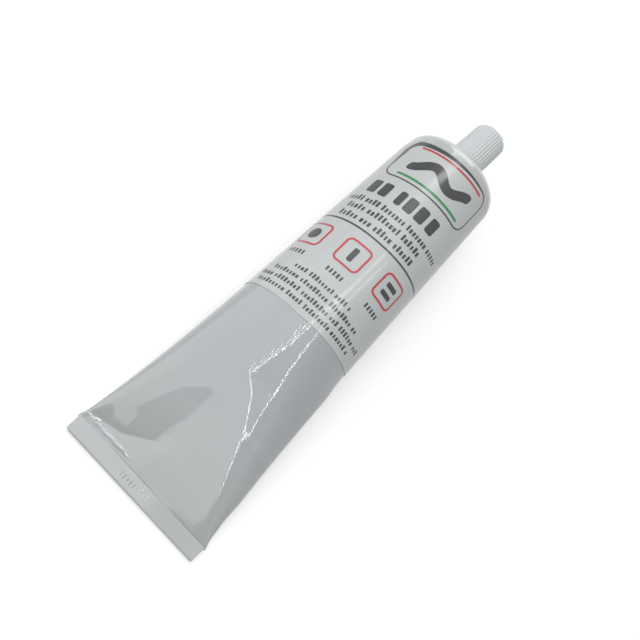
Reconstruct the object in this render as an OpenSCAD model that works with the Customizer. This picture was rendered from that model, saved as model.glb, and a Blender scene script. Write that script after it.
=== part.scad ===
// Collapsible aluminium tube of sealing paste: crimped tail, wrap label and ribbed screw cap.
// It lies on its underside: +X runs from the tail to the cap, +Z is up, and the ground is z = 0.

/* [Tube wall] */
// Diameter of the round wall at the shoulder
tube_d = 35; // [25:0.5:50]
// Length of the wall from the shoulder to the tail fold
body_len = 141; // [110:1:190]
// Rise of the neck's axis while the full tube lies flat, in degrees
axis_rise = 3.4; // [1:0.1:6]
// Thickness of the two pressed walls where they enter the fold
lip_t = 0.6; // [0.4:0.05:1.2]
// Turn of the tail fold away from square, in degrees
tail_turn = 1.9; // [0:0.1:4]

/* [Tail fold] */
// Length of the folded strip
strip_len = 6; // [4:0.25:10]
// Thickness of the folded strip
strip_t = 1.2; // [0.9:0.05:2]
// Width that the pressed tube loses at its two rolled edges
edge_loss = 0.6; // [0:0.1:1.5]
// Bevel of the strip's left outer corner
strip_bevel = 1.3; // [0.3:0.1:3]
// Bevel of the strip's right outer corner
right_bevel = 0.5; // [0.3:0.1:3]
// How far the pressed wall stands out past the strip's two ends
ear = 0.5; // [0:0.1:0.8]
// Slit between the folded flap and the walls under it
slit_t = 0.08; // [0.05:0.01:0.15]

/* [Shoulder and neck] */
// Radius of the rolled edge between wall and shoulder
edge_r = 4.2; // [1:0.1:6]
// Height of the shoulder, from the end of the wall to the neck's collar
shoulder_h = 8.6; // [6:0.1:14]
// Diameter of the collar that the cap seats on
collar_d = 11.4; // [10:0.1:16]
// Height of the collar above the shoulder's cone
collar_h = 0.55; // [0.3:0.05:1.5]
// Diameter of the neck under its thread
neck_d = 8.1; // [6:0.1:9]
// Length of the neck above the collar
neck_len = 13; // [8:0.1:13.4]
// Sideways lean of the soft neck, in degrees
neck_lean = 2.6; // [0:0.1:4]
// Diameter of the mouth, which a thin membrane closes
mouth_d = 5.4; // [3:0.1:5.8]
// Depth of the membrane below the neck's rim
mouth_depth = 0.8; // [0.3:0.1:2]

/* [Cap] */
// Outer diameter of the cap at its skirt, over the ribs
cap_d = 12.5; // [12:0.1:18]
// Height of the cap
cap_len = 15.8; // [15.4:0.1:22]
// Loss of diameter from the skirt to the closed end
cap_taper = 0.5; // [0:0.1:1.5]
// Radius of the closed end's rounded edge
cap_round = 2.8; // [0.5:0.1:4]
// Gap between the cap's skirt and the collar
seat_gap = 0.15; // [0.1:0.05:0.3]
// Gap between the neck under its thread and the cap's bore, on the radius
thread_room = 0.55; // [0.45:0.05:0.8]
// Gap between the neck's rim and the cap's inner end
rim_gap = 0.5; // [0.3:0.1:1]
// Number of grip ribs
rib_count = 36; // [24:1:48]
// Height of a rib above the smooth wall
rib_h = 0.22; // [0.1:0.02:0.4]
// Width of a rib
rib_w = 0.62; // [0.4:0.02:0.8]
// Plain band at the skirt, below the ribs
rib_foot = 0.9; // [0.3:0.1:2]

/* [Label] */
// Distance of the label's edge from the shoulder end of the wall
label_start = 1.6; // [1:0.1:6]
// Length of the label along the tube
label_len = 73.6; // [50:0.5:90]
// Bare strip along the underside, between the label's two edges
label_gap = 20; // [18:1:50]
// Turn of the label away from square, in degrees
label_turn = 3.9; // [0:0.1:5]
// Thickness of the film
film_t = 0.12; // [0.08:0.01:0.2]
// Thickness of the glue under the film
glue_t = 0.05; // [0.03:0.01:0.08]

/* [Dents] */
// Depth of the band pressed flat beside the left half of the fold
heel_depth = 1.5; // [0:0.1:2]
// Depth of that band at its right end
heel_end_depth = 1; // [0:0.1:2]
// Distance over which the bank behind that band runs out
heel_reach = 4; // [2:0.5:8]
// Slope of the flat face on the left, as a fall over a run
left_slope = 0.07; // [0:0.01:0.15]
// Distance over which the wall comes back up, right of that face
left_reach = 4; // [2:0.5:8]
// Height of the ridge along the main crease
crest_rise = 0.5; // [0:0.1:1]
// Slope to the right of the main crease, before its bend
low_slope = 0.24; // [0:0.01:0.3]
// Slope to the right of the main crease, past its bend
high_slope = 0.125; // [0:0.005:0.2]
// Slope that the side crease adds on its right
side_slope = 0.15; // [0:0.01:0.2]
// Outward bulge of the right side, beside the creases
side_bulge = 0.6; // [0:0.1:1]

/* [Hidden] */
tube_r = tube_d / 2;
girth = PI * tube_d;
label_wrap = girth - label_gap;
tail_w = girth / 2 - edge_loss;
bore_r = neck_d / 2 + thread_room;
quarter_steps = 14;
section_steps = 20;
wall_rings = 64;
label_rings = 18;
side_bias = 0.35;
spread_exp = 1.2;
flare_share = 0.36;
flare_exp = 5;
ring_bias = 1.3;
probe = 0.05;
heel_span = [4, 27];
heel_over = 5;
left_span = [15, 33];
left_over = 9;
crest_left = 12;
crest_reach = 18;
crest_round = 0.35;
crest_start = 2;
side_reach = 10;
side_start = 30;
start_over = 4;
crease_end = 80;
end_over = 50;
side_over = 10;
side_inset = 3;
bulge_span = [13, 61];
bulge_over = 10;
ear_reach = 1.6;
cone_land = 0.25;
rim_bevel = 0.35;
overlap = 0.4;
step = 0.03;
fine = 96;

// The wall's end circle, the neck's root and the cap's seat
rise_dir = [cos(axis_rise), 0, sin(axis_rise)];
end_centre = [-tube_r * sin(axis_rise), 0, tube_r * cos(axis_rise)];
seat_s = shoulder_h + collar_h + seat_gap;

// Box of the whole tube along X, for the origin under its middle
tail_x = -body_len - strip_len * cos(tail_turn) - sin(tail_turn) * (tail_w / 2 - right_bevel);
cap_x = end_centre[0] + cos(axis_rise) * (seat_s + cap_len - cap_round) + cap_round
    + sin(axis_rise) * (cap_d / 2 - cap_taper / 2 - rib_h - cap_round);
mid_x = (tail_x + cap_x) / 2;

// Half width and half thickness of the wall at u, from 0 at the shoulder to 1 at the fold
function flare(u) = (1 - flare_share) * u + flare_share * pow(u, flare_exp);
function half_w(u) = tube_r + (tail_w / 2 - tube_r) * flare(u);
function fall(t) = 2 * t / (1 + t);
function half_t(u) = lip_t / 2 + (tube_r - lip_t / 2) * fall(1 - pow(u, spread_exp));

// Girth of an ellipse, and the flat stretch that brings a section to the tube's girth
function ellipse_girth(a, b, h) = PI * (a + b) * (1 + 3 * h / (10 + sqrt(4 - 3 * h)));
function section_girth(a, b, s) = 4 * s + ellipse_girth(a - s, b, pow((a - s - b) / (a - s + b), 2));
function flat_of(a, b, low, high, n) =
    n == 0 ? (low + high) / 2
    : section_girth(a, b, (low + high) / 2) > girth ? flat_of(a, b, low, (low + high) / 2, n - 1)
    : flat_of(a, b, (low + high) / 2, high, n - 1);

// A quarter of a section from its top middle to its side, as rows of [length so far, y, height]
function arc_point(a, b, s, i) = [s + (a - s) * sin(90 * i / section_steps), b * cos(90 * i / section_steps)];
function arc_rows(a, b, s) = [
    for (i = 0, run = s, p = arc_point(a, b, s, 0); i <= section_steps;
         i = i + 1, run = run + norm(arc_point(a, b, s, i) - p), p = arc_point(a, b, s, i))
    [run, p[0], p[1]]
];
function quarter(a, b, s) = concat(s > step ? [[0, 0, b]] : [], arc_rows(a, b, max(s, 0)));
function section(u) =
    let (a = half_w(u), b = half_t(u))
    quarter(a, b, flat_of(a, b, 0, a - b, 24));
function column(rows, k) = [for (row = rows) [row[0], row[k]]];

// Lines of the dents on the flattened wall. The heel's line gives the distance from the fold at a place
// round the wall, and the others the place at a distance; places run from -quarter to quarter girth.
HEEL_LINE = [[3.6, 11.6], [10, 7.8], [15, 5], [20, 4], [26, 3]];
HEEL_DEPTH = [[5, heel_end_depth], [14, heel_depth]];
LEFT_EDGE = [[10, 20], [14, 17], [26, 12], [34, 4]];
LEFT_FLOOR = [[9, 5], [14, 3.8], [34, 3.4]];
CREST_LINE = [[0, -24.5], [12.5, -18.8], [30, -10.4], [39, -4], [43, 1.4], [58, -0.9], [92, -1.2]];
CREST_SLOPE = [[0, 0], [4, low_slope], [27, low_slope], [31, high_slope]];
SIDE_LINE = [[28, -13.4], [36, -10.8], [52, -7.3], [76, -3.8], [92, -1.6]];

// A soft step from 0 to 1, and a stretch between two of them
function soft(t) = let (c = max(0, min(1, t))) c * c * (3 - 2 * c);
function between(v, span, over) = soft((v - span[0]) / over + 0.5) * soft((span[1] - v) / over + 0.5);

// The band pressed flat beside the left half of the fold, and the steep bank behind it
function heel(dist, w) =
    let (line = lookup(w, HEEL_LINE), depth = lookup(w, HEEL_DEPTH) * between(w, heel_span, heel_over))
    depth * (dist < line ? dist / line : exp((line - dist) / heel_reach));

// A flat face that falls from the left side to a line near the middle
function left_face(dist, w) =
    let (
        low = lookup(dist, LEFT_FLOOR),
        width = max(lookup(dist, LEFT_EDGE) - low, step),
        depth = left_slope * width * between(dist, left_span, left_over)
    )
    depth * (w > low ? max(0, 1 - (w - low) / width) : exp((w - low) / left_reach));

// A crease: the wall falls gently on the left of its line and more steeply on its right
function crease(dist, w, line, rise, slope, reach, start) =
    let (
        off = lookup(dist, line) - w,
        right = (off + norm([off, crest_round])) / 2,
        drop = slope * reach * (1 - 2 / (exp(2 * right / reach) + 1)),
        share = soft((dist - start) / start_over + 0.5) * soft((crease_end - dist) / end_over + 0.5)
    )
    share * (drop - rise * exp((off - right) / crest_left));

// How far the wall is pressed down at u, and at w round the wall from its upper middle
function dent(u, w) =
    let (dist = body_len * (1 - u))
    between(w, [side_inset - girth / 4, girth / 4 - side_inset], side_over) * (
        heel(dist, w) + left_face(dist, w)
        + crease(dist, w, CREST_LINE, crest_rise, lookup(dist, CREST_SLOPE), crest_reach, crest_start)
        + crease(dist, w, SIDE_LINE, 0, side_slope, side_reach, side_start)
    );

// How far the right side stands out at u and w
function bulge(u, w) =
    side_bulge * between(body_len * (1 - u), bulge_span, bulge_over) * pow(sin(min(w, 0) / girth * 360), 2);

// How far both sides stand out beside the fold
function ear_out(u, w) = ear * exp(-pow(body_len * (1 - u) / ear_reach, 2)) * pow(sin(w / girth * 360), 2);

// A point of the wall at u and w, from that section's columns, moved outwards by lift
function wall_point(u, w, ys, hs, lift) =
    let (
        reach = ys[len(ys) - 1][0],
        from_mid = min(abs(w), girth / 2 - abs(w)),
        key = from_mid / (girth / 4) * reach,
        here = [lookup(key, ys), lookup(key, hs)],
        back = [lookup(max(key - probe, 0), ys), lookup(max(key - probe, 0), hs)],
        ahead = [lookup(min(key + probe, reach), ys), lookup(min(key + probe, reach), hs)],
        along = (ahead - back) / norm(ahead - back),
        out = lift * [-along[1], along[0]],
        upper = abs(w) <= girth / 4 ? 1 : -1,
        y = (w < 0 ? -1 : 1) * (here[0] + out[0] + ear_out(u, w)) - bulge(u, w),
        rise = half_t(u) + upper * (here[1] + out[1]) - dent(u, w)
    )
    [-body_len * u - rise * sin(axis_rise) + tan(tail_turn) * y * u * u, y, rise * cos(axis_rise)];
function wall_ring(u, ws, lift) =
    let (rows = section(u), ys = column(rows, 1), hs = column(rows, 2))
    [for (w = ws) wall_point(u, w, ys, hs, lift)];

// Places round the wall, closer together at its sides, where a flattened section bends most
function quarter_place(t) = girth / 4 * (t + side_bias * sin(180 * t) / PI);
function place(j) =
    j < 0 ? -place(-j)
    : j <= quarter_steps ? quarter_place(j / quarter_steps)
    : girth / 2 - quarter_place((2 * quarter_steps - j) / quarter_steps);
WALL_PLACES = [for (j = [-2 * quarter_steps + 1:2 * quarter_steps]) place(j)];

// Faces between two neighbouring rings of m points, where ring numbers count from first
function band(m, i, closed) = [
    for (j = [0:m - (closed ? 1 : 2)])
    let (k = (j + 1) % m)
    for (f = [[i * m + j, i * m + k, (i + 1) * m + k], [i * m + j, (i + 1) * m + k, (i + 1) * m + j]]) f
];
function turned(faces) = [for (f = faces) [f[0], f[2], f[1]]];

// The wall, filled with paste: rings from inside the shoulder to inside the fold
module wall() {
    m = len(WALL_PLACES);
    rings = [
        for (i = [0:wall_rings])
        let (
            u = 1 - pow(1 - i / wall_rings, ring_bias),
            shift = i == 0 ? overlap * rise_dir : i == wall_rings ? [-overlap, 0, 0] : [0, 0, 0],
            ends = i == 0 || i == wall_rings
        )
        for (p = wall_ring(u, WALL_PLACES, ends ? -step : 0)) p + shift
    ];
    sides = [for (i = [0:wall_rings - 1]) for (f = band(m, i, true)) f];
    front = [for (j = [1:m - 2]) [0, j, j + 1]];
    back = [for (j = [1:m - 2]) [wall_rings * m, wall_rings * m + j + 1, wall_rings * m + j]];
    polyhedron(points = rings, faces = concat(turned(sides), turned(front), turned(back)), convexity = 6);
}

// The tail, folded once over itself: a lip, a round outer turn and a flap with a slit under it
module fold_profile() {
    outer_r = strip_t / 2;
    flap_r = (strip_t - lip_t - slit_t) / 2;
    slit_end = outer_r - strip_len;
    polygon(concat(
        [[overlap, 0]],
        [for (t = [-90:-15:-270]) [outer_r - strip_len + outer_r * cos(t), outer_r + outer_r * sin(t)]],
        [for (t = [90:-30:-90]) [flap_r * cos(t) - flap_r, strip_t - flap_r + flap_r * sin(t)]],
        [[slit_end, lip_t + slit_t], [slit_end, lip_t], [overlap, lip_t]]
    ));
}
module fold_outline() {
    polygon([
        [overlap, -tail_w / 2],
        [overlap, tail_w / 2],
        [strip_bevel / 2 - strip_len, tail_w / 2],
        [-strip_len, tail_w / 2 - strip_bevel],
        [-strip_len, right_bevel - tail_w / 2],
        [right_bevel / 2 - strip_len, -tail_w / 2]
    ]);
}
module tail_fold() {
    translate([-body_len, 0, 0]) rotate([0, 0, -tail_turn]) intersection() {
        rotate([90, 0, 0]) linear_extrude(height = tail_w, center = true) fold_profile();
        linear_extrude(height = strip_t) fold_outline();
    }
}

// Frames at the wall's end and on the collar, both with +Z along the piece's own axis
module at_wall_end() {
    translate(end_centre) rotate([0, 90 - axis_rise, 0]) children();
}
module at_collar() {
    at_wall_end() translate([0, 0, shoulder_h]) rotate([neck_lean, 0, 0]) children();
}

// The shoulder: a rolled edge that runs into a cone, up to the collar
module shoulder() {
    cone_top = collar_d / 2 + cone_land;
    run = [cone_top - tube_r + edge_r, shoulder_h];
    edge_turn = atan2(run[1], run[0]) - acos(edge_r / norm(run));
    rotate_extrude($fn = fine) polygon(concat(
        [[0, 0]],
        [for (t = [0:0.1:1]) [tube_r - edge_r + edge_r * cos(t * edge_turn), edge_r * sin(t * edge_turn)]],
        [[cone_top, shoulder_h], [0, shoulder_h]]
    ));
}

// The collar, and the neck with its rim and the membrane that closes its mouth
module neck() {
    translate([0, 0, -overlap]) cylinder(d = collar_d, h = overlap + collar_h, $fn = fine);
    translate([0, 0, collar_h]) rotate_extrude($fn = fine) polygon([
        [0, -overlap],
        [neck_d / 2, -overlap],
        [neck_d / 2, neck_len - rim_bevel],
        [neck_d / 2 - rim_bevel, neck_len],
        [mouth_d / 2, neck_len],
        [mouth_d / 2, neck_len - mouth_depth],
        [0, neck_len - mouth_depth]
    ]);
}

module tube_body() {
    color([0.84, 0.86, 0.86]) {
        wall();
        tail_fold();
        at_wall_end() shoulder();
        at_collar() neck();
    }
}

// The label: a film over its glue, on the wall's own lines, open along the underside
function label_u(s, w) = (s + tan(label_turn) * tube_r * sin(w / tube_r * 180 / PI)) / body_len;
function film_row(s, lift) = [
    for (w = LABEL_PLACES)
    let (u = label_u(s, w), rows = section(u))
    wall_point(u, w, column(rows, 1), column(rows, 2), lift)
];
function film_sheet(lift) = [
    for (i = [0:label_rings]) for (p = film_row(label_start + label_len * i / label_rings, lift)) p
];
LABEL_PLACES = concat(
    [-label_wrap / 2],
    [for (w = WALL_PLACES) if (abs(w) < label_wrap / 2 - overlap) w],
    [label_wrap / 2]
);
module label() {
    m = len(LABEL_PLACES);
    n = m * (label_rings + 1);
    outer = [for (i = [0:label_rings - 1]) for (f = band(m, i, false)) f];
    inner = [for (f = outer) [for (v = f) v + n]];
    rim = concat(
        [for (j = [0:m - 1]) j],
        [for (i = [1:label_rings]) i * m + m - 1],
        [for (j = [1:m - 1]) n - 1 - j],
        [for (i = [1:label_rings - 1]) n - m - i * m]
    );
    edge = [
        for (k = [0:len(rim) - 1])
        let (a = rim[k], b = rim[(k + 1) % len(rim)])
        for (f = [[a, b, b + n], [a, b + n, a + n]]) f
    ];
    color([0.93, 0.94, 0.94]) polyhedron(
        points = concat(film_sheet(glue_t + film_t), film_sheet(glue_t)),
        faces = concat(turned(outer), inner, edge),
        convexity = 6
    );
}

// The cap: a bored and tapered shell with a rounded closed end, and grip ribs down to its skirt
module cap_shell() {
    skirt_r = cap_d / 2 - rib_h;
    end_r = skirt_r - cap_taper / 2 - cap_round;
    bore_h = neck_len - seat_gap + rim_gap;
    round_z = cap_len - cap_round;
    rotate_extrude($fn = fine) polygon(concat(
        [[bore_r + rim_bevel, 0], [skirt_r - rim_bevel, 0], [skirt_r, rim_bevel]],
        [for (t = [0:9:90]) [end_r + cap_round * cos(t), round_z + cap_round * sin(t)]],
        [[0, cap_len], [0, bore_h], [bore_r - rim_bevel, bore_h]],
        [[bore_r, bore_h - rim_bevel], [bore_r, rim_bevel]]
    ));
}
module cap_rib() {
    rib_r = rib_w / 2;
    rib_len = cap_len - cap_round - rib_foot;
    lean = atan2(cap_taper / 2, cap_len - cap_round);
    translate([cap_d / 2 - rib_r - tan(lean) * rib_foot, 0, rib_foot])
        rotate([0, -lean, 0]) cylinder(r = rib_r, h = rib_len, $fn = 24);
}
module cap() {
    color([0.95, 0.96, 0.96]) at_collar() translate([0, 0, collar_h + seat_gap]) {
        cap_shell();
        for (i = [0:rib_count - 1]) rotate([0, 0, i * 360 / rib_count]) cap_rib();
    }
}

translate([-mid_x, 0, 0]) tube_body();
translate([-mid_x, 0, 0]) label();
translate([-mid_x, 0, 0]) cap();
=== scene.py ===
import math
import random

import bpy
import numpy as np
from mathutils import Matrix, Vector


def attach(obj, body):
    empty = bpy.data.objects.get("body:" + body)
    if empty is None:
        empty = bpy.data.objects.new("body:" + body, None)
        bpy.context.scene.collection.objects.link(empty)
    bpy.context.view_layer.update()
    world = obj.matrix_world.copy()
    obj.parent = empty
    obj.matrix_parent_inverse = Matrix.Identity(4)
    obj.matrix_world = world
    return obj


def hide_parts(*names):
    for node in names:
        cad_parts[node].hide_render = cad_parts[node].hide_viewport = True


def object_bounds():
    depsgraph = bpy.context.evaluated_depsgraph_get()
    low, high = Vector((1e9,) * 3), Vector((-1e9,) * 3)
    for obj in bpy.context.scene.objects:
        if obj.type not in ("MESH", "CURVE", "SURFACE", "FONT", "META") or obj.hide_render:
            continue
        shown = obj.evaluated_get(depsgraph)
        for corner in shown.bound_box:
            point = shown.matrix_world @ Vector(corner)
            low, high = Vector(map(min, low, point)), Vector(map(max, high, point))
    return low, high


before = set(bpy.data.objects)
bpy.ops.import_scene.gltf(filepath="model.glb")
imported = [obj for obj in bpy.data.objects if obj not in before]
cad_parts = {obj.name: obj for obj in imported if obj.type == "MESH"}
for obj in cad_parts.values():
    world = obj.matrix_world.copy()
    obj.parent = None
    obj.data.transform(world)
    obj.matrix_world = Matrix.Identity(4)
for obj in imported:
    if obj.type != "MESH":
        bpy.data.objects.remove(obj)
cad_low, cad_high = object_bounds()

# Sizes are in millimetres and angles in radians, and each mesh is scaled to metres as it is made
MM = 0.001

# Wall of the tube
tube_d = 35
body_len = 141
axis_rise = math.radians(3.4)
lip_t = 0.6
tail_turn = math.radians(1.9)
edge_loss = 0.6
tube_r = tube_d / 2
girth = math.pi * tube_d
tail_w = girth / 2 - edge_loss
spread_exp = 1.2
flare_share = 0.36
flare_exp = 5

# Folded tail
strip_len = 6
strip_t = 1.2
strip_bevel = 1.3
right_bevel = 0.5
ear = 0.47
ear_reach = 1.6
slit_t = 0.08
flap_clear = 0.05

# How far the hidden ends of the wall, the fold and the collar run on into their neighbours
overlap = 0.4

# Row of short marks pressed into the strip: its place from the fold, its middle and half length
mark_x = -3.1
mark_middle = 0.7
mark_span = 5.4

# Each mark: its depth, which fades to the right by (factor, offset) but keeps a least share, and its
# half length, which varies from mark to mark; half widths are shares of the pitch
mark_pitch = 1.35
mark_depth = 0.13
mark_fade = (0.12, 0.7)
mark_least = 0.4
mark_reach = 0.85
mark_vary = 0.3
mark_turn = 2.4
mark_half = 0.22
dirt_and_shade_half = 0.14

# Shoulder and neck
edge_r = 4.2
shoulder_h = 8.6
cone_land = 0.25
collar_d = 11.4
collar_h = 0.55
collar_bevel = 0.12
neck_d = 8.1
neck_len = 13
neck_lean = math.radians(2.6)
mouth_d = 5.4
mouth_depth = 0.8
membrane_edge = 0.4
membrane_sag = 0.02
membrane_rise = 0.06
rim_bevel = 0.35

# Cap
cap_d = 12.5
cap_len = 15.8
cap_taper = 0.5
cap_round = 2.8
seat_gap = 0.15
rim_gap = 0.5
bore_r = 4.6
foot_round = 0.25
foot_mid = 0.07
rib_count = 36
rib_h = 0.22
rib_w = 0.62
rib_start = 0.63
rib_end = 0.9
rib_fade = 0.5

# Thread of neck and cap, with its distances from the two ends of the neck and of the bore
thread_pitch = 1.8
thread_h = 0.42
thread_crest = 1.6
thread_flank = 5
thread_fade = 0.8
neck_ends = (0.8, 0.9)
bore_ends = (0.6, 0.5)

# Label
label_start = 1.6
label_len = 73.6
label_gap = 20
label_wrap = girth - label_gap
label_turn = math.radians(3.9)
film_t = 0.12
glue_t = 0.05
ink_t = 0.02

# Dents of the wall. Their lines are (distance from the fold, place round the wall), but the heel's
# line and depth are given at places round the wall
heel_depth = 1.5
heel_end_depth = 1.0
heel_reach = 4
heel_span = (4, 27)
heel_over = 5
left_slope = 0.06
left_reach = 4
left_span = (11, 33)
left_over = 9
crest_rise = 0.5
crest_left = 12
crest_reach = 18
crest_round = 0.4
crest_start = 2
low_slope = 0.24
high_slope = 0.125
rubbed_round = 0.6
rubbed_span = (44, 68)
rubbed_over = 5
side_slope = 0.15
side_reach = 10
side_start = 30
start_over = 4
crease_end = 80
end_over = 50
side_inset = 3
side_over = 10
side_bulge = 0.6
bulge_span = (13, 61)
bulge_over = 10
HEEL_LINE = [(3.6, 11.6), (10, 7.8), (15, 5), (20, 4), (26, 3)]
HEEL_DEPTH = [(5, heel_end_depth), (14, heel_depth)]
LEFT_EDGE = [(10, 20), (14, 17), (26, 12), (34, 4)]
LEFT_FLOOR = [(9, 5), (14, 3.8), (34, 3.4)]
CREST_LINE = [(0, -24.5), (12.5, -18.8), (30, -10.4), (39, -4), (43, 1.4), (58, -0.9), (92, -1.2)]
CREST_SLOPE = [(0, 0), (4, low_slope), (27, low_slope), (31, high_slope)]
SIDE_LINE = [(28, -13.4), (36, -10.8), (52, -7.3), (76, -3.8), (92, -1.6)]

# Bead pinched up beside the left half of the fold; its line wanders by (reach, radians per mm)
bead_dist = 1.8
bead_h = 0.38
bead_w = 0.55
bead_span = (9, 25)
bead_over = 4
BEAD_WAVES = [(0.12, 1.3), (0.06, 3.1)]

# Lift of the wall beside the middle of the fold, where the slit is faint
lift_h = 0.2
lift_reach = 0.8
lift_span = (-14, -4)
lift_over = 8

# Bands along the creases and the bead where the lacquer is wavy, and the one that is scratched
wavy_w = 1.5
wavy_over = 8
main_wavy = (4, 92)
side_wavy = (28, 92)
side_wavy_share = 0.6
bead_wavy = (1.1, 3.3)
bead_wavy_over = 0.8
bead_wavy_w = (9, 26)
bead_wavy_w_over = 3
scratch_w = 2
scratch_span = (43, 68)
scratch_over = 4

# Print, in places (w, s): w runs round the wall from its upper middle, s along it from the shoulder.
# Frame: its place, width, height and corner, and its line, which swells over (start, length)
frame_box = (1.5, 10.3, 35, 16.2, 4)
frame_line = 0.55
frame_swell = 1.5
swell_w = (2, 14)
swell_s = (14, 6)

# Wave in the frame
motif_ends = (13, -10.5)
motif_s = 10.4
motif_h = 1.9
motif_start = 1
motif_turn = 0.42
motif_line = 3.4
motif_corner = 1.2

# Red and green stripes in the frame, each with a width and a corner
stripe_ends = (14, -12)
red_s = 3.9
red_line = (0.8, 0.35)
green_s = 16.6
green_line = (0.9, 0.4)

# Row of large blocks, as place and width, and the line that is ruled round the label
big_s = 24.7
big_h = 5.7
big_corner = 0.8
BIG_BLOCKS = [(16.3, 3.4), (11.9, 3.2), (6.1, 2.4), (2.2, 3.3), (-2.4, 3.6), (-7.4, 3.4)]
rule_s = 41.2
rule_line = 0.65
rule_inset = 0.4

# Row of squares, and the shapes in them: place, width, height and corner
square_s = 49.8
square_size = 9
square_corner = 1.6
square_line = 0.75
SQUARES = [19.3, 4, -12.2]
SQUARE_SHAPES = [
    (19.3, 49.8, 4.6, 4.6, 2.29),
    (4, 49.8, 1.9, 5.2, 0.6),
    (-12.2, 48.3, 4.6, 1.7, 0.5),
    (-12.2, 51.3, 4.6, 1.7, 0.5),
]

# Lines of small blocks: base, tall and low height, start and end round the wall, pitch
BLOCK_LINES = [
    (31.9, 2.3, 1.65, 22, -17.5, 1.32),
    (35.5, 2.3, 1.65, 19, -12, 1.41),
    (39.4, 2.3, 1.65, 19, -11.5, 1.45),
    (59.1, 1.7, 1.7, 22.4, 15.6, 1.36),
    (59.1, 1.7, 1.7, 7.4, 0.6, 1.36),
    (59.1, 1.7, 1.7, -9.1, -15.9, 1.36),
    (64.0, 1.75, 1.25, 15, -7, 1.2),
    (67.1, 1.75, 1.25, 20.5, -14.5, 1.2),
    (70.2, 1.75, 1.25, 23, -20, 1.2),
    (73.1, 1.75, 1.25, 22, -17, 1.2),
]

# Least and most blocks in a line's first group and in the next ones, the gap between groups as a
# share of the pitch, and the share of tall blocks
first_group = (4, 9)
next_group = (2, 9)
group_gap = 0.6
tall_share = 0.35
block_widths = (0.48, 0.74)
block_corner = 0.18

# Radius of the tiny ring that ends a turned outline at its axis
axis_r = 0.01

# Steps of the meshes: counts, and distances between points
section_steps = 96
halvings = 30
probe = 0.05
side_bias = 0.35
ring_bias = 1.3
wall_columns = 320
wall_rings = 250
edge_steps = 14
cone_steps = 6
strip_rows = 181
marks_per_pitch = 16
strip_step = 0.5
slit_step = 0.2
bend_step = 12
flap_step = 20
neck_columns = 120
neck_step = 0.09
bore_step = 0.12
first_ring = 0.1
rib_steps = 12
skirt_rings = 40
round_step = 6
label_columns = 221
label_rows = 171
table_columns = 301
table_rows = 300
table_margin = 0.02
last_cell = 0.9999
stroke_step = 0.35
across_step = 0.4
corner_steps = 9
motif_steps = 60
END_TURNS = (0, 25, 45, 65, 90)

# Places on the part: the wall's end, the tail's line and the shift to the part's own frame
end_centre = tube_r * np.array([-math.sin(axis_rise), 0, math.cos(axis_rise)])
tail_x = -body_len - strip_len * math.cos(tail_turn) - math.sin(tail_turn) * (tail_w / 2 - right_bevel)
part_shift = np.array([cad_low.x / MM - tail_x, 0, 0])


# Soft steps and tables
def clamp(value):
    """A number kept between 0 and 1."""
    return min(max(value, 0), 1)


def step(t):
    """A soft step from 0 to 1."""
    t = np.clip(t, 0, 1)
    return t * t * (3 - 2 * t)


def between(value, span, over):
    """1 within a span and 0 outside, with a soft step at each end."""
    return step((value - span[0]) / over + 0.5) * step((span[1] - value) / over + 0.5)


def lookup(table, key):
    """The value of a table of (key, value) rows at a key, along straight lines from row to row."""
    return np.interp(key, [row[0] for row in table], [row[1] for row in table])


def arc(x, y, radius, degrees):
    """Points of an arc about (x, y), one at each of the angles."""
    return [(x + radius * math.cos(t), y + radius * math.sin(t)) for t in np.radians(degrees)]


# Sections of the wall, which all have the tube's girth
def half_width(u):
    """Half width of the wall at u, from 0 at the shoulder to 1 at the fold."""
    return tube_r + (tail_w / 2 - tube_r) * ((1 - flare_share) * u + flare_share * u**flare_exp)


def half_height(u):
    """Half thickness of the wall at u."""
    left = 1 - u**spread_exp
    return lip_t / 2 + (tube_r - lip_t / 2) * 2 * left / (1 + left)


def section_girth(a, b, flat):
    """Girth of a flattened ellipse with a flat stretch on each side of its middle."""
    a = a - flat
    h = ((a - b) / (a + b)) ** 2
    return 4 * flat + math.pi * (a + b) * (1 + 3 * h / (10 + math.sqrt(4 - 3 * h)))


def flat_stretch(a, b):
    """The flat stretch that brings a section to the tube's girth."""
    low, high = 0, max(a - b, 0)
    for _ in range(halvings):
        middle = (low + high) / 2
        if section_girth(a, b, middle) > girth:
            high = middle
        else:
            low = middle
    return (low + high) / 2


def section_table(u):
    """Length so far, y and height along a quarter of the section, from its top middle to its side."""
    a, b = half_width(u), half_height(u)
    flat = flat_stretch(a, b)
    turn = np.linspace(0, math.pi / 2, section_steps + 1)
    y = np.concatenate([[0], flat + (a - flat) * np.sin(turn)])
    height = np.concatenate([[b], b * np.cos(turn)])
    run = np.concatenate([[0], np.cumsum(np.hypot(np.diff(y), np.diff(height)))])
    return run, y, height


# Dents, as depths at a distance from the fold and a place w round the wall
def heel(dist, w):
    """The band pressed flat beside the left half of the fold, and the steep bank behind it."""
    line = lookup(HEEL_LINE, w)
    depth = lookup(HEEL_DEPTH, w) * between(w, heel_span, heel_over)
    band = np.clip(dist / line, 0, 1)
    bank = np.exp(-np.maximum(dist - line, 0) / heel_reach)
    return depth * np.where(dist < line, band, bank)


def left_face(dist, w):
    """A flat face that falls from the left side to a line near the middle."""
    edge, foot = lookup(LEFT_EDGE, dist), lookup(LEFT_FLOOR, dist)
    width = np.maximum(edge - foot, 0.1)
    depth = left_slope * width * between(dist, left_span, left_over)
    falling = np.clip((edge - w) / width, 0, 1)
    rising = np.exp(-np.maximum(foot - w, 0) / left_reach)
    return depth * np.where(w > foot, falling, rising)


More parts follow.
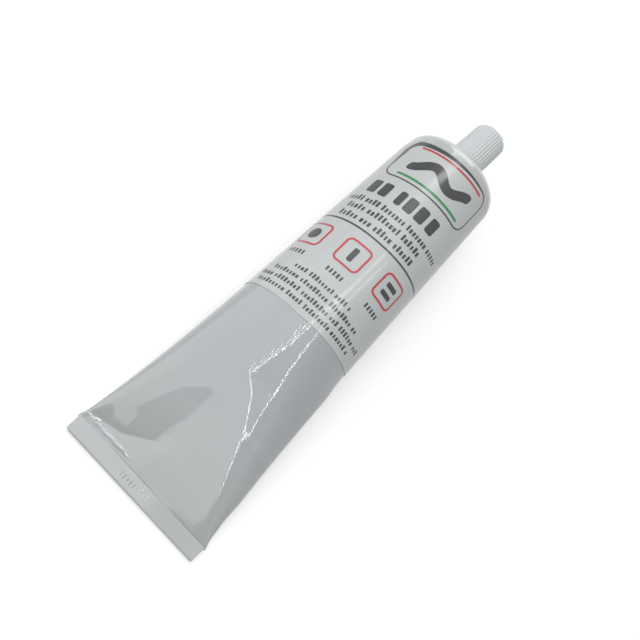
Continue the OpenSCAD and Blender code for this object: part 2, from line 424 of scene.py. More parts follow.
def bead(dist, w):
    """Height of the thin bead pinched up beside the left half of the fold."""
    middle = bead_dist + sum(reach * np.sin(turn * w) for reach, turn in BEAD_WAVES)
    return bead_h * np.exp(-(((dist - middle) / bead_w) ** 2)) * between(w, bead_span, bead_over)


def slit_lift(dist, w):
    """Height of the wall's lift beside the middle of the fold."""
    return lift_h * np.exp(-((dist / lift_reach) ** 2)) * between(w, lift_span, lift_over)


def crease(dist, w, line, rise, slope, reach, start):
    """A crease along a line: the wall falls gently on its left and more steeply on its right."""
    off = lookup(line, dist) - w
    size = crest_round + rubbed_round * between(dist, rubbed_span, rubbed_over)
    right = (off + np.sqrt(off**2 + size**2)) / 2
    left = right - off
    drop = slope * reach * np.tanh(right / reach)
    share = step((dist - start) / start_over + 0.5) * step((crease_end - dist) / end_over + 0.5)
    return (drop - rise * np.exp(-left / crest_left)) * share


def dent(u, w):
    """How far the wall is pressed down at u, and at w round the wall from its upper middle."""
    dist = body_len * (1 - u)
    total = heel(dist, w) + left_face(dist, w) - bead(dist, w)
    crest_slope = lookup(CREST_SLOPE, dist)
    total = total + crease(dist, w, CREST_LINE, crest_rise, crest_slope, crest_reach, crest_start)
    total = total + crease(dist, w, SIDE_LINE, 0, side_slope, side_reach, side_start)
    total = total - slit_lift(dist, w)
    return total * between(w, (side_inset - girth / 4, girth / 4 - side_inset), side_over)


def near_line(line, dist, w, width, span, over):
    """1 on a line and 0 away from it, within a span of distances from the fold."""
    return np.exp(-(((lookup(line, dist) - w) / width) ** 2)) * between(dist, span, over)


def near_crease(dist, w):
    """Up to 1 on the creases and the bead, 2 where the main one is rubbed, and 0 away from them."""
    main = near_line(CREST_LINE, dist, w, wavy_w, main_wavy, wavy_over)
    beside = side_wavy_share * near_line(SIDE_LINE, dist, w, wavy_w, side_wavy, wavy_over)
    pinch = between(dist, bead_wavy, bead_wavy_over) * between(w, bead_wavy_w, bead_wavy_w_over)
    rubbed = near_line(CREST_LINE, dist, w, scratch_w, scratch_span, scratch_over)
    return np.maximum(np.maximum(main, beside), pinch) + rubbed


def sideness(w):
    """1 at the wall's two sides, and 0 at its upper and lower middle."""
    return np.sin(w / girth * 2 * math.pi) ** 2


def bulge(u, w):
    """How far the right side stands out at u and w."""
    span_share = between(body_len * (1 - u), bulge_span, bulge_over)
    return side_bulge * span_share * sideness(np.minimum(w, 0))


def ear_out(u, w):
    """How far both sides stand out beside the fold."""
    return ear * np.exp(-((body_len * (1 - u) / ear_reach) ** 2)) * sideness(w)


def wall_points(us, ws, lift):
    """Points of the wall, one row for each u, moved outwards by lift."""
    rows = []
    from_mid = np.minimum(abs(ws), girth / 2 - abs(ws))
    upper = np.where(abs(ws) <= girth / 4, 1, -1)
    side = np.where(ws < 0, -1, 1)
    for u in us:
        run, ys, hs = section_table(u)
        key = from_mid / (girth / 4) * run[-1]
        back, ahead = np.maximum(key - probe, 0), np.minimum(key + probe, run[-1])
        along_y = np.interp(ahead, run, ys) - np.interp(back, run, ys)
        along_h = np.interp(ahead, run, hs) - np.interp(back, run, hs)
        size = np.hypot(along_y, along_h)
        y = side * (np.interp(key, run, ys) - lift * along_h / size + ear_out(u, ws)) - bulge(u, ws)
        rise = half_height(u) + upper * (np.interp(key, run, hs) + lift * along_y / size) - dent(u, ws)
        x = -body_len * u - rise * math.sin(axis_rise) + math.tan(tail_turn) * y * u * u
        rows.append(np.stack([x, y, rise * math.cos(axis_rise)], axis=1))
    return np.array(rows)


def wall_places(count):
    """Places round the wall, closer together at its sides, where a flattened section bends most."""
    quarter = count // 4
    t = np.arange(quarter + 1) / quarter
    first = girth / 4 * (t + side_bias * np.sin(math.pi * t) / math.pi)
    half = np.concatenate([first, girth / 2 - first[-2::-1]])
    return np.concatenate([-half[-2:0:-1], half])


# Meshes
def quads(rows, cols, closed, first=0, flip=False):
    """Faces of a grid of rows times cols points, closed round its columns or open."""
    faces = []
    for i in range(rows - 1):
        for j in range(cols if closed else cols - 1):
            k = (j + 1) % cols
            corners = [i * cols + j, i * cols + k, (i + 1) * cols + k, (i + 1) * cols + j]
            faces.append([first + c for c in (corners[::-1] if flip else corners)])
    return faces


def end_faces(rows, cols):
    """The two faces that close the ends of a grid of rings."""
    return [list(range(cols)), [(rows - 1) * cols + j for j in range(cols)][::-1]]


def mesh_piece(name, parts, material, body, sharp=35):
    """One piece from several (points, faces) parts, with edges sharp from an angle in degrees."""
    points, faces = [], []
    for part_points, part_faces in parts:
        base = sum(len(p) for p in points)
        points.append(np.asarray(part_points, float).reshape(-1, 3))
        faces += [[base + v for v in face] for face in part_faces]
    mesh = bpy.data.meshes.new(name)
    mesh.from_pydata((np.concatenate(points) * MM).tolist(), [], faces)
    mesh.validate()
    mesh.shade_smooth()
    mesh.set_sharp_from_angle(angle=math.radians(sharp))
    piece = bpy.data.objects.new(name, mesh)
    bpy.context.scene.collection.objects.link(piece)
    mesh.materials.append(material)
    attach(piece, body)
    return piece


def add_place(piece, values):
    """Stores each point's place on its surface, for the materials to read."""
    flat = np.asarray(values, np.float32).reshape(-1, 3)
    layer = piece.data.attributes.new("place", "FLOAT_VECTOR", "POINT")
    layer.data.foreach_set("vector", flat.ravel())


def turned_profile(profile, count, radius_of):
    """Rings of an outline of (radius, height) turned about +Z, with radii by angle from radius_of."""
    angles = np.arange(count) / count * 2 * math.pi
    rows = []
    for radius, height in profile:
        radii = radius_of(radius, height, angles)
        level = np.full(count, height)
        rows.append(np.stack([radii * np.cos(angles), radii * np.sin(angles), level], axis=1))
    return np.array(rows)


def turn_matrix(axis, angle):
    """The matrix of a turn about an axis."""
    return np.array(Matrix.Rotation(angle, 3, axis))


END_TURN = turn_matrix("Y", math.pi / 2 - axis_rise)
LEAN_TURN = turn_matrix("X", neck_lean)


def at_wall_end(points):
    """From the shoulder's own frame, with +Z along the tube's axis, to the part's."""
    return np.asarray(points) @ END_TURN.T + end_centre + part_shift


def at_collar(points):
    """From the neck's own frame to the part's."""
    return at_wall_end(np.asarray(points) @ LEAN_TURN.T + np.array([0, 0, shoulder_h]))


# Materials
class Tree:
    """A short way to write a material's nodes."""

    def __init__(self, name):
        self.material = bpy.data.materials.new(name)
        self.material.use_nodes = True
        self.nodes = self.material.node_tree.nodes
        self.links = self.material.node_tree.links
        self.shader = self.nodes["Principled BSDF"]

    def put(self, socket, value):
        """Links or sets an input, unless the value is None."""
        if isinstance(value, bpy.types.NodeSocket):
            self.links.new(value, socket)
        elif value is not None:
            socket.default_value = value

    def set(self, **values):
        """Sets the shader's inputs, named with an underscore for each space."""
        for name, value in values.items():
            self.put(self.shader.inputs[name.replace("_", " ")], value)

    def math(self, operation, a, b=None, c=None, clamp=False):
        """The result of one operation on up to three values."""
        node = self.nodes.new("ShaderNodeMath")
        node.operation, node.use_clamp = operation, clamp
        for socket, value in zip(node.inputs, (a, b, c)):
            self.put(socket, value)
        return node.outputs[0]

    def times(self, a, b):
        """The product of two values."""
        return self.math("MULTIPLY", a, b)

    def plus(self, a, b):
        """The sum of two values."""
        return self.math("ADD", a, b)

    def scaled(self, value, factor, offset):
        """A value times a factor, plus an offset."""
        return self.math("MULTIPLY_ADD", value, factor, offset)

    def ramp(self, value, factor, offset):
        """A value times a factor, plus an offset, kept between 0 and 1."""
        return self.math("MULTIPLY_ADD", value, factor, offset, clamp=True)

    def band(self, value, middle, half):
        """1 where a value is within half of the middle, else 0."""
        return self.math("COMPARE", value, middle, half)

    def place(self):
        """The place that add_place stored with the mesh."""
        node = self.nodes.new("ShaderNodeAttribute")
        node.attribute_name = "place"
        return node.outputs["Vector"]

    def object_place(self):
        """The point in the object's own frame, in metres."""
        return self.nodes.new("ShaderNodeTexCoord").outputs["Object"]

    def split(self, vector):
        """The three parts of a vector."""
        node = self.nodes.new("ShaderNodeSeparateXYZ")
        self.put(node.inputs[0], vector)
        return node.outputs

    def stretch(self, vector, scale):
        """A vector with each part multiplied by its own factor."""
        node = self.nodes.new("ShaderNodeVectorMath")
        node.operation = "MULTIPLY"
        self.put(node.inputs[0], vector)
        node.inputs[1].default_value = scale
        return node.outputs[0]

    def noise(self, vector, scale=1, detail=2):
        """Soft noise from 0 to 1."""
        node = self.nodes.new("ShaderNodeTexNoise")
        self.put(node.inputs["Vector"], vector)
        node.inputs["Scale"].default_value = scale
        node.inputs["Detail"].default_value = detail
        return node.outputs[0]

    def mix(self, share, a, b):
        """Colour a, with a share of colour b."""
        node = self.nodes.new("ShaderNodeMix")
        node.data_type = "RGBA"
        self.put(node.inputs[0], share)
        self.put(node.inputs[6], a)
        self.put(node.inputs[7], b)
        return node.outputs[2]

    def bump(self, height, distance):
        """The normal of a bumpy surface; distance is the height in mm that 1 stands for."""
        node = self.nodes.new("ShaderNodeBump")
        self.put(node.inputs["Height"], height)
        node.inputs["Distance"].default_value = distance * MM
        return node.outputs[0]


def shade(red, green, blue):
    """A colour written as 0 to 255 screen values."""
    return tuple(
        c / 12.92 if c <= 0.04045 else ((c + 0.055) / 1.055) ** 2.4
        for c in (red / 255, green / 255, blue / 255)
    ) + (1,)


# Shades of the lacquer: at the tail, along the wall (painted shade), in faint clouds (painted
# reflection tint), at the shoulder (painted light), and dirt with painted shade in the marks
LACQUER_TAIL = shade(166, 172, 172)
LACQUER_WALL_SHADED = shade(157, 163, 165)
LACQUER_REFLECTION_TINT = shade(163, 167, 173)
LACQUER_SHOULDER_LIT = shade(176, 182, 181)
LACQUER_DIRT_AND_SHADE = shade(112, 120, 121)
reflection_tint_share = 0.4
dirt_and_shade_share = 0.8

# Where shades and lines come in: factor and offset of a distance from the fold or of a place w
wall_shade_ramp = (0.03, -0.3)
lit_shoulder_ramp = (0.5, -69)
line_ramp = (0.25, -3.5)
dirt_and_shade_ramp = (0.12, 0.6)

# Relief of the lacquer: heights of its waves, scratches and pressed line, and of every fine grain
wave_h = 0.008
crease_wave_h = 0.045
scratch_h = 0.012
scratch_slant = -0.13
scratch_waver = 0.8
scratch_turn = 6.3
line_h = 0.08
line_dist = 0.75
line_half = 0.12
grain_h = 0.01


def scratches(t, w, dist, near, fine):
    """Fine scratches that lie at a slant across the main crease where it is rubbed."""
    across = t.scaled(dist, scratch_slant, t.scaled(fine, scratch_waver, w))
    ridges = t.math("SINE", t.times(across, scratch_turn))
    return t.times(ridges, t.times(t.math("SUBTRACT", near, 1, clamp=True), scratch_h))


def mark_dirt_and_shade(t, w, dist):
    """The dirt and painted shade in the row of marks pressed into the tail, which thins out to the
    right.
    """
    count = t.math("DIVIDE", w, mark_pitch)
    reach = t.scaled(t.math("SINE", t.times(t.math("FLOOR", count), mark_turn)), mark_vary, mark_reach)
    dirt_shade = t.band(t.math("FRACT", count), 0.5, dirt_and_shade_half)
    dirt_shade = t.times(dirt_shade, t.band(w, mark_middle, mark_span))
    dirt_shade = t.times(dirt_shade, t.band(dist, mark_x, reach))
    return t.times(dirt_shade, t.ramp(w, *dirt_and_shade_ramp))


def lacquer_material():
    """White lacquer on soft aluminium: glossy, with fine waves along the wall."""
    t = Tree("lacquer")
    place = t.place()
    cloud = t.noise(t.stretch(place, (0.08, 0.03, 0.05)))
    fine = t.noise(t.stretch(place, (1.1, 0.7, 0)))
    w, dist, near = t.split(place)
    # Painted shade: the lacquer turns darker and bluer along the wall, away from the tail
    colour = t.mix(t.ramp(dist, *wall_shade_ramp), LACQUER_TAIL, LACQUER_WALL_SHADED)
    # Painted reflection: faint clouds tint the lacquer as reflections of the surroundings would
    colour = t.mix(t.times(cloud, reflection_tint_share), colour, LACQUER_REFLECTION_TINT)
    # Painted light: the lacquer is mixed paler towards the shoulder
    colour = t.mix(t.ramp(dist, *lit_shoulder_ramp), colour, LACQUER_SHOULDER_LIT)
    # Dirt and painted shade darken the pressed marks
    colour = t.mix(t.times(mark_dirt_and_shade(t, w, dist), dirt_and_shade_share), colour, LACQUER_DIRT_AND_SHADE)
    waves = t.times(fine, t.scaled(t.math("MINIMUM", near, 1), crease_wave_h, wave_h))
    # A fine line pressed along the left part of the fold
    line = t.times(t.band(dist, line_dist, line_half), t.ramp(w, *line_ramp))
    height = t.plus(t.plus(waves, scratches(t, w, dist, near, fine)), t.times(line, -line_h))
    peel = t.bump(height, 1)
    t.set(Base_Color=colour, Roughness=0.3, Normal=peel)
    t.set(Coat_Weight=1.0, Coat_Roughness=0.05, Coat_IOR=1.8, Coat_Normal=peel)
    return t.material


def film_material():
    """The label's film: paler than the lacquer, and glossier away from the shoulder."""
    t = Tree("film")
    place = t.place()
    cloud = t.noise(t.stretch(place, (0.06, 0.05, 0.05)))
    fine = t.noise(t.stretch(place, (0.9, 0.5, 1)), detail=3)
    colour = t.mix(cloud, shade(191, 196, 196), shade(198, 202, 201))
    t.set(Base_Color=colour, Roughness=0.32, Normal=t.bump(fine, grain_h))
    t.set(Coat_Weight=t.scaled(t.split(place)[1], 0.007, 0.12), Coat_Roughness=0.13)
    return t.material


def ink_material(name, dark, light):
    """Printing ink, a little uneven and as glossy as the film under it."""
    t = Tree(name)
    cloud = t.noise(t.object_place(), 900, 3)
    t.set(Base_Color=t.mix(cloud, shade(*dark), shade(*light)), Roughness=0.34)
    t.set(Coat_Weight=0.6, Coat_Roughness=0.13)
    return t.material


def cap_material():
    """Satin moulded plastic with a fine grain."""
    t = Tree("cap_plastic")
    place = t.object_place()
    colour = t.mix(t.noise(place, 300), shade(200, 205, 206), shade(206, 211, 212))
    t.set(Base_Color=colour, Roughness=0.42, Normal=t.bump(t.noise(place, 2500, 3), grain_h))
    return t.material


def aluminium_material():
    """Bare aluminium with the fine marks of its turning."""
    t = Tree("bare_aluminium")
    turned = t.noise(t.stretch(t.object_place(), (9000, 600, 600)), detail=3)
    colour = t.mix(turned, shade(170, 172, 174), shade(200, 202, 204))
    t.set(Base_Color=colour, Metallic=1, Roughness=0.34, Normal=t.bump(turned, grain_h))
    return t.material


lacquer = lacquer_material()
film = film_material()
cap_plastic = cap_material()
aluminium = aluminium_material()
black_ink = ink_material("black_ink", (30, 32, 34), (42, 44, 46))
red_ink = ink_material("red_ink", (178, 44, 54), (190, 58, 64))
green_ink = ink_material("green_ink", (22, 124, 72), (34, 138, 84))


# Shoulder and wall
def shoulder_profile():
    """The cone and the rolled edge as (radius, height), from inside the collar to the wall."""
    cone_top = collar_d / 2 + cone_land
    run = (cone_top - tube_r + edge_r, shoulder_h)
    edge_turn = math.atan2(run[1], run[0]) - math.acos(edge_r / math.hypot(*run))
    roll = [
        (tube_r - edge_r + edge_r * math.cos(t * edge_turn), edge_r * math.sin(t * edge_turn))
        for t in np.linspace(1, 0, edge_steps + 1)[:-1]
    ]
    top, foot = np.array([cone_top, shoulder_h]), np.array(roll[0])
    cone = [tuple((1 - t) * top + t * foot) for t in np.linspace(0, 1, cone_steps + 1)[1:-1]]
    return [(cone_top / 2, shoulder_h), (cone_top, shoulder_h)] + cone + roll


def make_tube():
    """The wall with the rolled edge and the cone, as one skin closed inside the fold."""
    ws = wall_places(wall_columns)
    share = np.arange(wall_rings) / (wall_rings - 1)
    us = 1 - (1 - share) ** ring_bias
    wall = wall_points(us, ws, 0) + part_shift
    into_fold = wall[-1] - [overlap, 0, 0]
    profile = shoulder_profile()
    # The wall's places run from the upper middle, which is the shoulder's -X, towards +Y
    angles = ws / tube_r
    rings = [
        at_wall_end(np.stack([-r * np.cos(angles), r * np.sin(angles), np.full(len(ws), h)], axis=1))
        for r, h in profile
    ]
    rows = np.concatenate([np.array(rings), wall, [into_fold]])
    faces = quads(len(rows), len(ws), True) + end_faces(len(rows), len(ws))
    piece = mesh_piece("tube_skin", [(rows, faces)], lacquer, "tube", sharp=50)
    # Each point's place: w, the distance from the fold, and how near a crease is
    dist = np.concatenate([[body_len + h for _, h in profile], body_len * (1 - us), [0]])
    near = near_crease(dist[:, None], ws[None, :])
    add_place(piece, np.stack(np.broadcast_arrays(ws[None, :], dist[:, None], near), axis=2))
    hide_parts("tube_body")


# Folded tail
def fold_profile():
    """The fold's outline across the strip, as x and z from the fold line."""
    outer_r = strip_t / 2
    flap_r = (strip_t - lip_t - slit_t) / 2
    slit_end = outer_r - strip_len
    points = [(overlap, 0), (0, 0)]
    points += [(-t, 0) for t in np.arange(strip_step, strip_len - outer_r, strip_step)]
    points += arc(slit_end, outer_r, outer_r, np.arange(-90, -271, -bend_step))
    points += [(x, strip_t) for x in np.arange(slit_end + slit_step, -flap_r - flap_clear, slit_step)]
    points += arc(-flap_r, strip_t - flap_r, flap_r, np.arange(90, -91, -flap_step))
    points += [(slit_end, lip_t + slit_t), (slit_end, lip_t), (overlap, lip_t)]
    return points


def pressed_mark(x, y):
    """Depth of the row of short marks that are pressed into the strip."""
    count = y / mark_pitch
    reach = mark_reach + mark_vary * math.sin(mark_turn * math.floor(count))
    if abs(y - mark_middle) > mark_span or abs(x - mark_x) > reach:
        return 0
    groove = max(0, 1 - abs(count % 1 - 0.5) / mark_half)
    return mark_depth * groove * min(1, max(mark_least, mark_fade[0] * y + mark_fade[1]))


def fold_row(profile, y):
    """The fold's outline at y, bevelled at the strip's two ends and with the pressed marks."""
    bevel = strip_bevel if y > 0 else right_bevel
    reach = strip_len - max(0, bevel - (tail_w / 2 - abs(y))) / 2
    row = []
    for x, z in profile:
        depth = pressed_mark(x, y) if z == strip_t else 0
        row.append((max(x, -reach), y, z - depth))
    return row


def make_fold():
    """The folded strip, with its flap and the slit above it."""
    profile = fold_profile()
    fine_ys = np.arange(mark_middle - mark_span, mark_middle + mark_span, mark_pitch / marks_per_pitch)
    ys = np.unique(np.concatenate([np.linspace(-tail_w / 2, tail_w / 2, strip_rows), fine_ys]))
    rows = [fold_row(profile, y) for y in ys]
    points = np.array(rows) @ turn_matrix("Z", -tail_turn).T + [-body_len, 0, 0] + part_shift
    faces = quads(len(ys), len(profile), True, flip=True) + end_faces(len(ys), len(profile))
    piece = mesh_piece("tail_fold", [(points, faces)], lacquer, "tube", sharp=40)
    # On the strip, past the fold, the distance from the fold is below 0
    add_place(piece, [[(y, x, 0) for x, _ in profile] for y in ys])
    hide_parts("tube_body")


# Neck and cap
def ends_fade(height, low, high, over):
    """1 between two heights, falling to 0 towards each."""
    return clamp((height - low) / over) * clamp((high - height) / over)


def thread_wave(angles, height):
    """A rounded thread as a share of its height, from 0 to 1."""
    phase = (height / thread_pitch - angles / (2 * math.pi)) % 1
    return np.clip(thread_crest - abs(phase - 0.5) * thread_flank, 0, 1)


def threaded(core, low, high, start):
    """A rule for turned_profile that winds a thread round the rings of radius core."""

    def radius_of(radius, height, angles):
        if abs(radius - core) > 1e-6:
            return np.full(len(angles), float(radius))
        fade = ends_fade(height, low, high, thread_fade)
        return core + thread_h * thread_wave(angles, height + start) * fade

    return radius_of


def make_neck():
    """The collar, the threaded neck and the membrane that closes its mouth."""
    core, mouth_r = neck_d / 2, mouth_d / 2
    top = collar_h + neck_len
    membrane = top - mouth_depth
    profile = [(axis_r, -overlap), (collar_d / 2, -overlap), (collar_d / 2, collar_h - collar_bevel)]
    profile += [(collar_d / 2 - collar_bevel, collar_h), (core, collar_h)]
    profile += [(core, h) for h in np.arange(collar_h + first_ring, top - rim_bevel, neck_step)]
    profile += [(core, top - rim_bevel), (core - rim_bevel, top), (mouth_r, top)]
    profile += [(mouth_r, membrane), (mouth_r - membrane_edge, membrane - membrane_sag)]
    profile += [(axis_r, membrane + membrane_rise)]
    rule = threaded(core, collar_h + neck_ends[0], top - neck_ends[1], 0)
    rows = at_collar(turned_profile(profile, neck_columns, rule))
    faces = quads(len(rows), neck_columns, True)
    piece = mesh_piece("tube_neck", [(rows, faces)], aluminium, "tube", sharp=50)
    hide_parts("tube_body")


def rib_wave(angles):
    """The ribs' height as a share, each a rounded ridge with a plain gap beside it."""
    pitch = 2 * math.pi / rib_count
    off = (angles + pitch / 2) % pitch - pitch / 2
    across = off * (cap_d / 2) / (rib_w / 2)
    return np.sqrt(np.clip(1 - across**2, 0, 1))


def ribbed(radius, height, angles):
    """The cap's outer radius with its ribs, which start above the plain foot and fade at the end."""
    if height <= rib_start:
        return np.full(len(angles), float(radius))
    fade = ends_fade(height, rib_start, cap_len - rib_end, rib_fade)
    return radius + rib_h * rib_wave(angles) * fade * clamp((cap_len - height) / cap_round)


def cap_outside():
    """The cap's outline from its foot to the middle of its end."""
    skirt_r = cap_d / 2 - rib_h
    end_r = skirt_r - cap_taper / 2 - cap_round
    round_z = cap_len - cap_round
    slope = cap_taper / 2 / round_z
    outline = [(bore_r + rim_bevel, 0), (skirt_r - foot_round, 0)]
    outline += [(skirt_r - foot_mid, foot_mid), (skirt_r, foot_round)]
    outline += [(skirt_r - slope * h, h) for h in np.linspace(2 * foot_round, round_z, skirt_rings)]
    outline += arc(end_r, round_z, cap_round, np.arange(round_step, 91, round_step))
    outline += [(end_r * share, cap_len) for share in (0.75, 0.5, 0.25, 0.01)]
    return outline


def cap_bore(bore_h):
    """The bore's outline from its closed end to the cap's foot."""
    outline = [(axis_r, bore_h), (bore_r - rim_bevel, bore_h), (bore_r, bore_h - rim_bevel)]
    outline += [(bore_r, h) for h in np.arange(bore_h - rim_bevel - first_ring, rim_bevel, -bore_step)]
    outline += [(bore_r, rim_bevel), (bore_r + rim_bevel, 0)]
    return outline


def make_cap():
    """The ribbed cap with its threaded bore."""
    count = rib_count * rib_steps
    bore_h = neck_len - seat_gap + rim_gap
    bore_rule = threaded(bore_r, bore_ends[0], bore_h - bore_ends[1], seat_gap)
    lift = np.array([0, 0, collar_h + seat_gap])
    outside = at_collar(turned_profile(cap_outside(), count, ribbed) + lift)
    inside = at_collar(turned_profile(cap_bore(bore_h), count, bore_rule) + lift)
    parts = [(rows, quads(len(rows), count, True)) for rows in (outside, inside)]
    piece = mesh_piece("screw_cap", parts, cap_plastic, "cap", sharp=60)
    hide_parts("cap")


# Label. Each lift's table of wall points is worked out once
TABLE_US = np.linspace(0, (label_start + label_len) / body_len + table_margin, table_rows)
TABLE_WS = np.linspace(-label_wrap / 2, label_wrap / 2, table_columns)
wall_tables = {}


def label_u(w, s):
    """The wall's u at a place of the label, which sits a little turned on the tube."""
    return (s + math.tan(label_turn) * tube_r * np.sin(w / tube_r)) / body_len


def on_wall(w, s, lift):
    """Points at places of the label, each moved outwards by lift."""
    if lift not in wall_tables:
        wall_tables[lift] = wall_points(TABLE_US, TABLE_WS, lift)
    table = wall_tables[lift]
    across = (w - TABLE_WS[0]) / (TABLE_WS[-1] - TABLE_WS[0])
    row = np.clip(label_u(w, s) / TABLE_US[-1], 0, last_cell) * (table_rows - 1)
    col = np.clip(across, 0, last_cell) * (table_columns - 1)
    i, j = row.astype(int), col.astype(int)
    a, b = (row - i)[..., None], (col - j)[..., None]
    near = table[i, j] * (1 - b) + table[i, j + 1] * b
    far = table[i + 1, j] * (1 - b) + table[i + 1, j + 1] * b
    return near * (1 - a) + far * a + part_shift


def make_label():
    """The film, as two sheets joined round their rim."""
    ws = np.linspace(-label_wrap / 2, label_wrap / 2, label_columns)
    ss = label_start + np.linspace(0, label_len, label_rows)
    w_grid, s_grid = np.meshgrid(ws, ss)
    sheets = [on_wall(w_grid, s_grid, lift) for lift in (glue_t + film_t - ink_t, glue_t)]
    n, m = w_grid.shape
    faces = quads(n, m, False) + quads(n, m, False, first=n * m, flip=True)
    rim = list(range(m)) + [i * m + m - 1 for i in range(1, n)]
    rim += [n * m - 1 - j for j in range(1, m)] + [n * m - m - i * m for i in range(1, n - 1)]
    faces += [[b, a, a + n * m, b + n * m] for a, b in zip(rim, rim[1:] + rim[:1])]
    piece = mesh_piece("wrap_label", [(np.array(sheets), faces)], film, "tube", sharp=50)
    place = np.stack([w_grid, s_grid, 0 * s_grid], axis=2)
    add_place(piece, np.array([place, place]))
    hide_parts("label")


# Print
def stroke(path, width, corner=0, closed=False):
    """A strip of ink along a path, with its ends' corners rounded, as a grid of places."""
    path = np.asarray(path, float)
    widths = np.broadcast_to(width, len(path))
    if closed:
        path, widths = np.concatenate([path, path[:1]]), np.append(widths, widths[0])
    run = np.concatenate([[0], np.cumsum(np.hypot(*np.diff(path, axis=0).T))])
    t = np.linspace(0, run[-1], max(int(run[-1] / stroke_step), 2) + 1)
    if corner:
        ends = corner * (1 - np.cos(np.radians(END_TURNS)))
        t = np.unique(np.concatenate([t, ends, run[-1] - ends]))
    middle = np.stack([np.interp(t, run, path[:, k]) for k in (0, 1)], axis=1)
    ahead = np.gradient(middle, axis=0)
    if closed:
        ahead[0] = ahead[-1] = middle[1] - middle[-2]
    across = np.stack([-ahead[:, 1], ahead[:, 0]], axis=1) / np.hypot(*ahead.T)[:, None]
    half = np.interp(t, run, widths) / 2
    if corner:
        short = np.clip(1 - np.minimum(t, run[-1] - t) / corner, 0, 1)
        half = half - corner * (1 - np.sqrt(1 - short**2))
    share = np.linspace(-1, 1, max(int(np.max(widths) / across_step), 1) + 1)
    return middle[:, None, :] + across[:, None, :] * (half[:, None] * share[None, :])[..., None]


def box_path(w, s, width, height, corner):
    """A rounded rectangle about a place."""
    path = []
    for k, (side, end) in enumerate(((1, 1), (-1, 1), (-1, -1), (1, -1))):
        turns = np.linspace(90 * k, 90 * k + 90, corner_steps)
        path += arc(w + side * (width / 2 - corner), s + end * (height / 2 - corner), corner, turns)
    return path


def bar(w, s, width, height, corner):
    """A solid rounded block about a place."""
    return stroke([(w - width / 2, s), (w + width / 2, s)], height, corner)


def ring_line(ends, s, width, corner=0):
    """A straight line round the wall, between two places."""
    return stroke([(ends[0], s), (ends[1], s)], width, corner)


def block_row(line):
    """A line of small blocks in groups, some taller than others, all standing on one base."""
    base, tall, low, start, end, pitch = line
    pick = random.Random(int(base * 10))
    blocks, w, left = [], start, pick.randint(*first_group)
    while w - pitch / 2 > end:
        if left == 0:
            left = pick.randint(*next_group)
            w -= pitch * group_gap
            continue
        height = tall if pick.random() < tall_share else low
        width = pitch * pick.uniform(*block_widths)
        blocks.append(bar(w - pitch / 2, base - height / 2, width, height, block_corner))
        w -= pitch
        left -= 1
    return blocks


def frame_weight(w, s):
    """Width of the frame's line, which swells towards one corner."""
    swell = clamp((w - swell_w[0]) / swell_w[1]) ** 2
    return frame_line + frame_swell * swell * clamp((swell_s[0] - s) / swell_s[1])


def motif_path():
    """The wave inside the frame."""
    return [
        (w, motif_s - motif_h * math.sin((w - motif_start) * motif_turn))
        for w in np.linspace(*motif_ends, motif_steps)
    ]


def ink_piece(name, strokes, material):
    """One piece of thin ink from several strokes, lying on the film."""
    grids = [on_wall(g[..., 0], g[..., 1], glue_t + film_t) for g in strokes]
    parts = [(grid, quads(grid.shape[0], grid.shape[1], False)) for grid in grids]
    piece = mesh_piece(name, parts, material, "tube")
    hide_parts("label")


def make_print():
    """The frame with its motif, the blocks and lines, and the squares with their shapes."""
    outline = box_path(*frame_box)
    weights = [frame_weight(w, s) for w, s in outline]
    black = [stroke(outline, weights, closed=True), stroke(motif_path(), motif_line, motif_corner)]
    black += [bar(w, big_s, width, big_h, big_corner) for w, width in BIG_BLOCKS]
    rule_end = label_wrap / 2 - rule_inset
    black.append(ring_line((rule_end, -rule_end), rule_s, rule_line))
    for line in BLOCK_LINES:
        black += block_row(line)
    black += [bar(*shape) for shape in SQUARE_SHAPES]
    red = [ring_line(stripe_ends, red_s, *red_line)]
    for w in SQUARES:
        path = box_path(w, square_s, square_size, square_size, square_corner)
        red.append(stroke(path, square_line, closed=True))
    green = [ring_line(stripe_ends, green_s, *green_line)]
    ink_piece("black_print", black, black_ink)
    ink_piece("red_print", red, red_ink)
    ink_piece("green_print", green, green_ink)


make_tube()
make_fold()
make_neck()
make_cap()
make_label()
make_print()


# Floor, white background and lights. The floor's half size and its height are in metres. Floor and
# background are brighter in the rays that are seen than in those that only light the tube
floor_size = 4
floor_z = -0.0002
floor_seen = 0.75
floor_unseen = 0.38
glow_fall = 0.9
least_glow = 0.4
world_unseen = 0.22


def seen_share(nodes, links):
    """1 for rays that show the background: from the camera, off gloss or through glass."""
    path = nodes.new("ShaderNodeLightPath")
    total = path.outputs["Is Camera Ray"]
    for name in ("Is Glossy Ray", "Is Transmission Ray"):
        node = nodes.new("ShaderNodeMath")
        node.operation = "MAXIMUM"
        links.new(total, node.inputs[0])
        links.new(path.outputs[name], node.inputs[1])
        total = node.outputs[0]
    return total


def make_floor():
    """The white floor on which the tube lies."""
    mesh = bpy.data.meshes.new("floor")
    corners = [(x * floor_size, y * floor_size, 0) for x, y in ((-1, -1), (1, -1), (1, 1), (-1, 1))]
    mesh.from_pydata(corners, [], [[0, 1, 2, 3]])
    floor = bpy.data.objects.new("floor", mesh)
    bpy.context.scene.collection.objects.link(floor)
    floor.location.z = floor_z
    t = Tree("floor")
    seen = seen_share(t.nodes, t.links)
    colour = t.mix(seen, (floor_unseen,) * 3 + (1,), (floor_seen,) * 3 + (1,))
    t.set(Base_Color=colour, Roughness=1, Specular_IOR_Level=0)
    # Far from the lamps the floor glows up to white, which keeps the horizon pale in low views
    gradient = t.nodes.new("ShaderNodeTexGradient")
    gradient.gradient_type = "SPHERICAL"
    t.put(gradient.inputs[0], t.object_place())
    glow = t.math("MAXIMUM", t.scaled(gradient.outputs[1], -glow_fall, 1), least_glow)
    t.set(Emission_Color=(1, 1, 1, 1), Emission_Strength=t.times(seen, glow))
    mesh.materials.append(t.material)


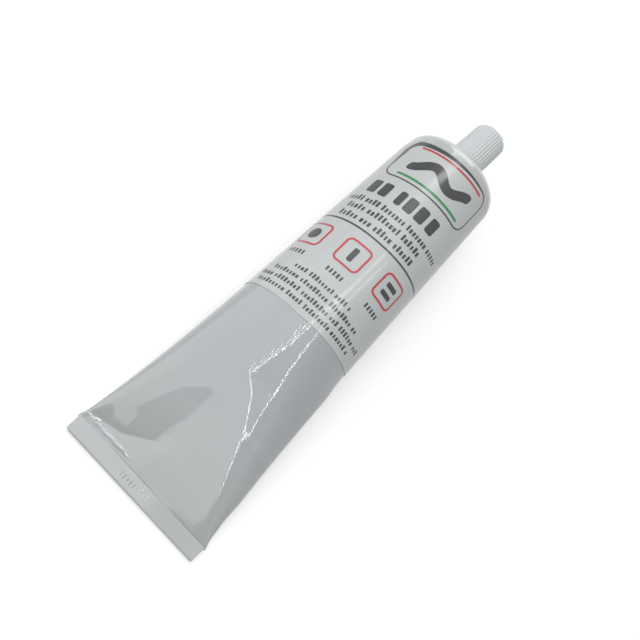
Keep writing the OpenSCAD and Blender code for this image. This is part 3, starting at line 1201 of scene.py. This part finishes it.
def make_world():
    """The white background."""
    world = bpy.data.worlds.new("world")
    bpy.context.scene.world = world
    world.use_nodes = True
    nodes, links = world.node_tree.nodes, world.node_tree.links
    background = nodes["Background"]
    strength = nodes.new("ShaderNodeMapRange")
    links.new(seen_share(nodes, links), strength.inputs["Value"])
    strength.inputs["To Min"].default_value = world_unseen
    strength.inputs["To Max"].default_value = 1
    links.new(strength.outputs[0], background.inputs["Strength"])
    background.inputs["Color"].default_value = (1, 1, 1, 1)


def area_light(name, place, target, size, power):
    """A soft rectangular light; places and sizes in mm."""
    data = bpy.data.lights.new(name, "AREA")
    data.shape = "RECTANGLE"
    data.size, data.size_y = size[0] * MM, size[1] * MM
    data.energy = power
    lamp = bpy.data.objects.new(name, data)
    lamp.location = Vector(place) * MM
    lamp.rotation_mode = "QUATERNION"
    lamp.rotation_quaternion = (Vector(target) - Vector(place)).to_track_quat("-Z", "Y")
    lamp.visible_camera = False
    bpy.context.scene.collection.objects.link(lamp)


make_floor()
make_world()
area_light("ceiling", (-525, 630, 900), (-525, 630, 0), (1850, 1320), 6.7)
area_light("front_panel", (950, 150, 650), (40, 0, 15), (900, 900), 5)
area_light("left_panel", (-150, 1350, 450), (-20, 0, 15), (1500, 850), 3.2)
area_light("tube_lamp", (-195, -143, 900), (-195, -143, 0), (890, 28), 1.3)
area_light("side_lamp", (-25, -330, 900), (-25, -330, 0), (550, 24), 0.57)
area_light("heel_lamp", (430, 150, 900), (430, 150, 0), (80, 220), 0.7)


# The camera, as found from the photograph's outline of the tube
camera_place = (-200.75, 4.51, 419.17)
camera_yaw = -0.0397
camera_pitch = -1.1228
camera_roll = 0.8281
camera_lens = 81.05
sensor_width = 36


def make_camera():
    """The photograph's camera."""
    data = bpy.data.cameras.new("camera")
    data.sensor_width, data.lens = sensor_width, camera_lens
    camera = bpy.data.objects.new("camera", data)
    level = Vector((math.cos(camera_yaw), math.sin(camera_yaw), 0))
    ahead = level * math.cos(camera_pitch) + Vector((0, 0, math.sin(camera_pitch)))
    right = ahead.cross(Vector((0, 0, 1))).normalized()
    up = right.cross(ahead)
    turned_right = right * math.cos(camera_roll) + up * math.sin(camera_roll)
    turned_up = up * math.cos(camera_roll) - right * math.sin(camera_roll)
    turn = Matrix((turned_right, turned_up, -ahead)).transposed().to_4x4()
    camera.matrix_world = Matrix.Translation(Vector(camera_place) * MM) @ turn
    bpy.context.scene.collection.objects.link(camera)
    bpy.context.scene.camera = camera


make_camera()
bpy.context.scene.view_settings.view_transform = "Standard"
